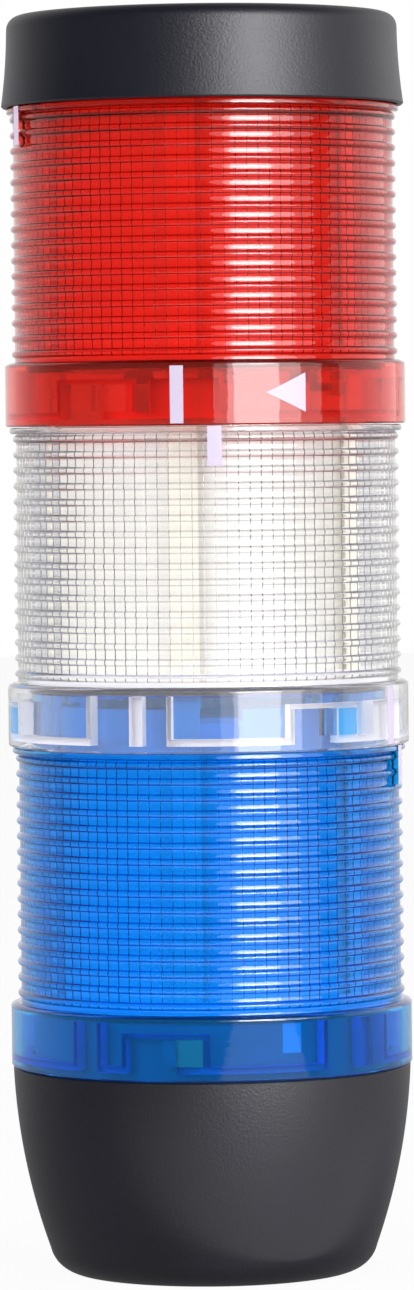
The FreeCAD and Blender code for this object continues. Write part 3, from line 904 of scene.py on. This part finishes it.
@dataclass(frozen=True)
class LightModules:
    """The three modules: each gets a copy of the lens moulding, and finishes for its inner parts."""

    lens: LensMoulding = LensMoulding()
    inner: Worn = (
        ("marks", MARK_WHITE), ("seal", NITRILE), ("contact_carrier", WHITE_ABS), ("diffuser_core", OPAL),
        ("led_board", SOLDER_MASK), ("leds", DIODE_GEL), ("bus_strips", BRASS), ("common_pin", BRASS),
        ("top_plate", WHITE_ABS),
    )

    def build(self, nodes: dict[str, Object], palette: Palette) -> None:
        """Makes the mouldings and dresses the rest."""
        pattern = self.lens.build()
        for module in Module:
            node = f"{module.label}_lens"
            piece = pattern.copy()
            piece.data = pattern.data.copy()
            piece.name = f"{node}_moulding"
            piece.data.name = piece.name
            bpy.context.scene.collection.objects.link(piece)
            piece.data.transform(turned_matrix(module.azimuth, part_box(node)[0].z))
            palette.dress(piece, module.plastic)
            palette.dress(piece, MARK_WHITE, MARK_SLOT)
            # Painted light on the chamber ribs: an opaque bright finish in the module's colour.
            palette.dress(piece, module.ribs, RIB_SLOT)
            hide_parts(node)
            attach(piece, f"{module.label}_module")
            for part, finish in self.inner:
                palette.dress(nodes[f"{module.label}_{part}"], finish)
            triangles = sum(len(face.vertices) - 2 for face in piece.data.polygons)
            LOG.info("%s module: %d triangles in the lens", module.label, triangles)
        bpy.data.objects.remove(pattern)


@dataclass(frozen=True)
class Base:
    """The tapered bowl under the lights, with its neck, floor and cable entry, and what it holds."""

    collar: BayonetCollar = BayonetCollar()
    neck: BayonetNeck = BayonetNeck(wall=2.2)
    height: float = 37.0
    seam: float = 0.15
    top_radius: float = 35.7
    steps: int = 400
    side: Line = ((33.7, 19.8), (29.4, 4.2))
    foot_corner: Point = (27.95, 1.5)
    foot_radius: float = 25.5
    foot_chords: int = 12
    side_chords: int = 28
    rim_edge: float = 0.25
    wall: float = 2.2
    floor: float = 2.6
    entry: float = 10.2
    entry_edge: float = 0.3
    boss: Point = (12.2, 4.8)
    boss_edge: float = 0.2
    fixing_circle: float = 20.0
    fixing_radius: float = 2.25
    fixing_azimuths: Row = (60.0, 180.0, 300.0)
    tower_circle: float = 19.0
    tower_azimuths: Point = (90.0, 270.0)
    tower_radius: float = 3.2
    tower_top: float = 39.0
    pad_low: float = 41.4
    pad: Point = (22.5, 28.8)
    pilot_radius: float = 1.5
    pilot_depth: float = 12.0
    inner: Worn = (
        ("terminal_plate", WHITE_ABS), ("terminal_blocks", GREY_NYLON), ("terminal_screws", ZINC_STEEL),
        ("base_contacts", BRASS), ("base_common_pin", BRASS), ("plate_screws", ZINC_STEEL),
    )

    def outside(self) -> list[Point]:
        """The bowl's curved side, from the foot up, sampled on the arcs through its three points."""
        shoulder = self.height - self.seam
        rim = (self.top_radius, shoulder - self.rim_edge)
        low = arc(((self.foot_radius, 0.0), self.foot_corner, self.side[1]), self.foot_chords)
        high = arc((self.side[1], self.side[0], rim), self.side_chords)
        return low + high[1:] + [(self.top_radius - self.rim_edge, shoulder)]

    def profile(self) -> list[Point]:
        """The whole closed section, from the foot up the outside and down the inside."""
        inner = self.neck.bore
        shoulder = self.height - self.seam
        neck = self.neck.profile(self.height)
        neck[0] = (self.neck.radius, shoulder)
        neck.insert(2, (self.neck.radius, self.pad_low))
        inside = [(inner, self.height + self.neck.height - self.neck.bore_edge)]
        inside += [(inner, shoulder - self.wall)]
        inside += [(radius - self.wall, z) for radius, z in self.side]
        inside += [(inside[-1][0] - self.floor / 2, self.floor), (self.boss[0], self.floor)]
        (boss, top), edge = self.boss, self.boss_edge
        inside += [(boss, top - edge), (boss - edge, top), (self.entry + edge, top)]
        inside += [(self.entry, top - edge), (self.entry, self.entry_edge)]
        inside += [(self.entry + self.entry_edge, 0.0)]
        return self.outside() + neck + inside

    def build(self, nodes: dict[str, Object], palette: Palette) -> None:
        """Makes the bowl and dresses the parts inside."""
        turning = Turning("base_bowl", self.profile(), self.steps, PAD_SLOT + 1)
        self.neck.shape(turning, self.height, Module.BLUE.azimuth, self.collar)
        skin, wall = self.neck.radius - self.neck.chamfer, self.neck.radius - SLACK
        # Painted light: the neck's outside goes to a slot that wears a lighter grey than the bowl.
        turning.paint(lambda at: (at.r > skin) & (at.z > self.height), NECK_SLOT)
        turning.paint(
            lambda at: at.between(*self.pad)
            & (at.r > wall)
            & (at.outward > UPRIGHT)
            & (at.z > self.pad_low),
            PAD_SLOT,
        )
        top = self.tower_top
        for azimuth in self.tower_azimuths:
            place = (self.tower_circle, azimuth)
            combine(turning.piece, rod(self.tower_radius, self.floor / 2, top, place), "UNION")
            pilot = rod(self.pilot_radius, top - self.pilot_depth, top + PAST, place)
            combine(turning.piece, pilot, "DIFFERENCE")
        for azimuth in self.fixing_azimuths:
            hole = rod(self.fixing_radius, -PAST, self.floor + PAST, (self.fixing_circle, azimuth))
            combine(turning.piece, hole, "DIFFERENCE")
        piece = turning.finish(sharp_above=35.0)
        palette.dress(piece, BLACK_ABS)
        palette.dress(piece, GREY_NECK_PAINTED_LIGHT, NECK_SLOT)
        palette.dress(piece, WHITE_ABS, PAD_SLOT)
        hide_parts("base_housing")
        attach(piece, "base")
        for part, finish in self.inner:
            palette.dress(nodes[part], finish)
        LOG.info("base: %d faces in the bowl", len(piece.data.polygons))


@dataclass(frozen=True)
class Cap:
    """The plain lid, with the same collar as a lens."""

    collar: BayonetCollar = BayonetCollar()
    azimuth: float = -80.0
    height: float = 16.5
    rim: float = 36.2
    side: Line = ((35.5, 6.5), (35.15, 14.0))
    top_radius: float = 32.7
    wall: float = 2.2
    pocket: float = 30.0
    seat_bore: float = 32.5
    seat_top: float = 10.9
    side_chords: int = 10
    edge_chords: int = 8
    steps: int = 500

    def profile(self) -> list[Point]:
        """The whole closed section, from the rim up the outside and down the inside."""
        edge = self.collar.rim_edge
        outside = [(self.rim - edge, 0.0)] + arc(((self.rim, edge), *self.side), self.side_chords)
        high = self.side[1][1]
        reach_r, reach_z = self.side[1][0] - self.top_radius, self.height - high
        for i in range(1, self.edge_chords + 1):
            angle = math.pi / 2 * i / self.edge_chords
            outside.append((self.top_radius + reach_r * math.cos(angle), high + reach_z * math.sin(angle)))
        under = self.height - self.wall
        inside = [(self.pocket, under), (self.pocket, self.seat_top), (self.seat_bore, self.seat_top)]
        inside += [(self.seat_bore, self.collar.depth)]
        return outside + [(0.0, self.height), (0.0, under)] + inside + self.collar.bore_profile()

    def build(self, nodes: dict[str, Object], palette: Palette) -> None:
        """Makes the cap and dresses its seal."""
        turning = Turning("cap_lid", self.profile(), self.steps, 1)
        self.collar.shape(turning)
        piece = turning.finish(sharp_above=35.0)
        piece.data.transform(turned_matrix(self.azimuth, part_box("cap")[0].z))
        palette.dress(piece, BLACK_ABS)
        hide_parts("cap")
        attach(piece, "cap")
        palette.dress(nodes["cap_seal"], NITRILE)
        LOG.info("cap: %d faces in the lid", len(piece.data.polygons))


def rod(radius: float, low: float, high: float, place: Point) -> Object:
    """An upright cylinder.

    Args:
        radius: in millimetres.
        low: height of its foot, in millimetres.
        high: height of its top, in millimetres.
        place: distance from the axis in millimetres, and azimuth in degrees.

    Returns:
        The cylinder.
    """
    distance, azimuth = place[0] * MM, math.radians(place[1])
    deselect_everything()
    bpy.ops.mesh.primitive_cylinder_add(
        vertices=ROD_SIDES,
        radius=radius * MM,
        depth=(high - low) * MM,
        location=(distance * math.sin(azimuth), -distance * math.cos(azimuth), (low + high) / 2 * MM),
    )
    return bpy.context.active_object


def combine(piece: Object, tool: Object, operation: str) -> None:
    """Adds a tool's shape to a piece or cuts it out, and removes the tool.

    Args:
        piece: the piece that changes.
        tool: the shape.
        operation: UNION or DIFFERENCE.
    """
    make_active(piece)
    change = piece.modifiers.new("shape", "BOOLEAN")
    change.operation, change.solver, change.object = operation, "EXACT", tool
    bpy.ops.object.modifier_apply(modifier=change.name)
    bpy.data.objects.remove(tool)
    set_mode("EDIT")
    weld(WELD_GAP)
    set_mode("OBJECT")


def arc(through: Sequence[Point], pieces: int) -> list[Point]:
    """Points on the circle through three points.

    Args:
        through: start, middle and end.
        pieces: how many chords the arc is cut into.

    Returns:
        The points, both ends among them.
    """
    (ax, ay), (bx, by), (cx, cy) = through
    d = 2 * (ax * (by - cy) + bx * (cy - ay) + cx * (ay - by))
    a2, b2, c2 = ax * ax + ay * ay, bx * bx + by * by, cx * cx + cy * cy
    ux = (a2 * (by - cy) + b2 * (cy - ay) + c2 * (ay - by)) / d
    uy = (a2 * (cx - bx) + b2 * (ax - cx) + c2 * (bx - ax)) / d
    radius = math.hypot(ax - ux, ay - uy)
    start, end = math.atan2(ay - uy, ax - ux), math.atan2(cy - uy, cx - ux)
    turn = (end - start + math.pi) % math.tau - math.pi
    angles = [start + turn * i / pieces for i in range(pieces + 1)]
    return [(ux + radius * math.cos(angle), uy + radius * math.sin(angle)) for angle in angles]


class Palette:
    """Builds each finish once and gives it to the pieces that wear it."""

    def __init__(self) -> None:
        """Starts with no material."""
        self.made: dict[str, bpy.types.Material] = {}

    def dress(self, piece: Object, finish: Finish, only: int | None = None) -> None:
        """Puts a finish on every slot of a piece, or on one slot only."""
        if finish.name not in self.made:
            self.made[finish.name] = finish.material()
        if not piece.material_slots:
            piece.data.materials.append(None)
        for index, slot in enumerate(piece.material_slots):
            if only is None or index == only:
                slot.material = self.made[finish.name]


# --- Studio ---


@dataclass(frozen=True)
class Softbox:
    """A lamp that faces the object: azimuth in degrees, lengths in metres, power in watts.

    It lights surfaces, shows in reflections, or both; a flat one looks straight up.
    """

    name: str
    azimuth: float
    height: float
    distance: float
    width: float
    tall: float
    power: float
    in_gloss: bool = True
    in_light: bool = True
    shape: str = "RECTANGLE"
    flat: bool = False

    def build(self) -> None:
        """Hangs the lamp."""
        lamp = bpy.data.lights.new(self.name, "AREA")
        lamp.shape = self.shape
        lamp.size, lamp.size_y, lamp.energy = self.width, self.tall, self.power
        stand = bpy.data.objects.new(self.name, lamp)
        angle = math.radians(self.azimuth)
        stand.location = (self.distance * math.sin(angle), -self.distance * math.cos(angle), self.height)
        aim = Vector((0.0, 0.0, AIM_HEIGHT)) - stand.location
        stand.rotation_euler = aim.to_track_quat("-Z", "Y").to_euler()
        if self.flat:
            stand.rotation_euler = (math.pi, 0.0, angle)
        stand.visible_glossy = self.in_gloss
        stand.visible_diffuse = self.in_light
        stand.visible_transmission = False
        bpy.context.scene.collection.objects.link(stand)


@dataclass(frozen=True)
class Studio:
    """Camera, pale floor, white surroundings and soft lamps."""

    camera_distance: float = 1.125
    camera_height: float = 0.1516
    focal_length: float = 174.4
    shift_up: float = -0.1705
    shift_right: float = 0.0012
    roll: float = 0.61
    front_light: float = 0.07
    front_floor: float = 0.08
    back_floor: float = 0.65
    floor_size: float = 6.0
    floor_reach: Point = (-0.3, 0.4)
    floor_share: float = 0.94
    lamps: tuple[Softbox, ...] = (
        Softbox("key_softbox", 32.5, 0.3, 1.3, 1.02, 1.2, 13.0, in_gloss=False),
        Softbox("left_fill", -55.0, 0.3, 1.4, 1.1, 1.2, 27.0, in_gloss=False),
        Softbox("right_fill", 78.0, 0.3, 1.4, 1.0, 1.2, 22.0, in_gloss=False),
        Softbox("key_reflection", 29.0, 0.3, 1.2, 0.58, 1.3, 9.6, in_light=False, shape="ELLIPSE"),
        Softbox("middle_reflection", 34.0, 0.3, 1.25, 1.03, 1.3, 11.8, in_light=False, shape="ELLIPSE"),
        Softbox("wide_reflection", 37.0, 0.3, 1.3, 1.7, 1.4, 9.0, in_light=False, shape="ELLIPSE"),
        Softbox("high_reflection", 29.0, 0.36, 1.1, 0.52, 0.3, 3.4, in_light=False, shape="ELLIPSE"),
        Softbox("floor_glow", 29.0, 0.004, 0.45, 0.3, 0.84, 0.5, in_light=False, flat=True),
        Softbox("right_rim", 112.0, 0.3, 1.3, 1.5, 1.3, 5.0, in_light=False),
    )

    def build(self) -> None:
        """Sets the stage."""
        self.place_camera()
        self.lay_floor()
        self.light_surroundings()
        for lamp in self.lamps:
            lamp.build()
        bpy.context.scene.view_settings.view_transform = "Standard"

    def place_camera(self) -> None:
        """A long lens at the height of the upper lights, level, with the frame shifted down."""
        data = bpy.data.cameras.new("camera")
        data.lens = self.focal_length
        data.shift_x, data.shift_y = self.shift_right, self.shift_up
        camera = bpy.data.objects.new("camera", data)
        camera.location = (0.0, -self.camera_distance, self.camera_height)
        camera.rotation_euler = (math.pi / 2, math.radians(self.roll), 0.0)
        bpy.context.scene.collection.objects.link(camera)
        bpy.context.scene.camera = camera

    def lay_floor(self) -> None:
        """A plain pale floor that shows almost white and keeps the object's shadow."""
        deselect_everything()
        bpy.ops.mesh.primitive_plane_add(size=self.floor_size)
        floor = bpy.context.active_object
        floor.name = "floor"
        material = bpy.data.materials.new("pale_floor")
        tree = blank_tree(material)
        paint = add_node(tree, "BsdfDiffuse", {"Color": linear("#F4F4F4")})
        glow = add_node(tree, "Emission", {"Color": linear(WHITE), "Strength": 1.0})
        rays = add_node(tree, "LightPath")
        part = {"operation": "MULTIPLY", 1: self.floor_share}
        share = add_node(tree, "Math", part, {0: rays.outputs["Is Camera Ray"]})
        seen = add_node(tree, "MixShader", links={0: share, 1: paint, 2: glow})
        where = add_node(tree, "SeparateXYZ", links={0: add_node(tree, "TexCoord").outputs["Object"]})
        near, far = self.floor_reach
        span = {"From Min": near, "From Max": far, "To Min": self.front_floor, "To Max": self.back_floor}
        level = add_node(tree, "MapRange", span, {"Value": where.outputs["Y"]})
        mirrored = add_node(tree, "Emission", links={"Strength": level})
        mix = add_node(tree, "MixShader", links={0: rays.outputs["Is Glossy Ray"], 1: seen, 2: mirrored})
        add_node(tree, "OutputMaterial", links={"Surface": mix})
        floor.data.materials.append(material)

    def light_surroundings(self) -> None:
        """White all round: in full where it is seen or looked at through plastic, darker in front."""
        world = bpy.data.worlds.new("white_surround")
        tree = blank_tree(world)
        rays = add_node(tree, "LightPath")
        way = add_node(tree, "SeparateXYZ", links={0: add_node(tree, "TexCoord").outputs["Generated"]})
        span = {"From Min": 0.0, "From Max": 1.0, "To Min": self.front_light, "To Max": 1.0}
        span["interpolation_type"] = "SMOOTHSTEP"
        shown = add_node(tree, "MapRange", span, {"Value": way.outputs["Y"]})
        for kind in ("Is Camera Ray", "Is Transmission Ray"):
            shown = add_node(tree, "Math", {"operation": "MAXIMUM"}, {0: shown, 1: rays.outputs[kind]})
        white = add_node(tree, "Background", {"Color": linear(WHITE)}, {"Strength": shown})
        add_node(tree, "OutputWorld", links={"Surface": white})
        bpy.context.scene.world = world


def main() -> None:
    """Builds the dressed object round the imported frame."""
    logging.basicConfig(level=logging.INFO, format="%(name)s: %(message)s")
    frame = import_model()
    palette = Palette()
    Studio().build()
    Base().build(frame["nodes"], palette)
    LightModules().build(frame["nodes"], palette)
    Cap().build(frame["nodes"], palette)
    LOG.info("dressed %d nodes", len(frame["nodes"]))


if __name__ == "__main__":
    main()
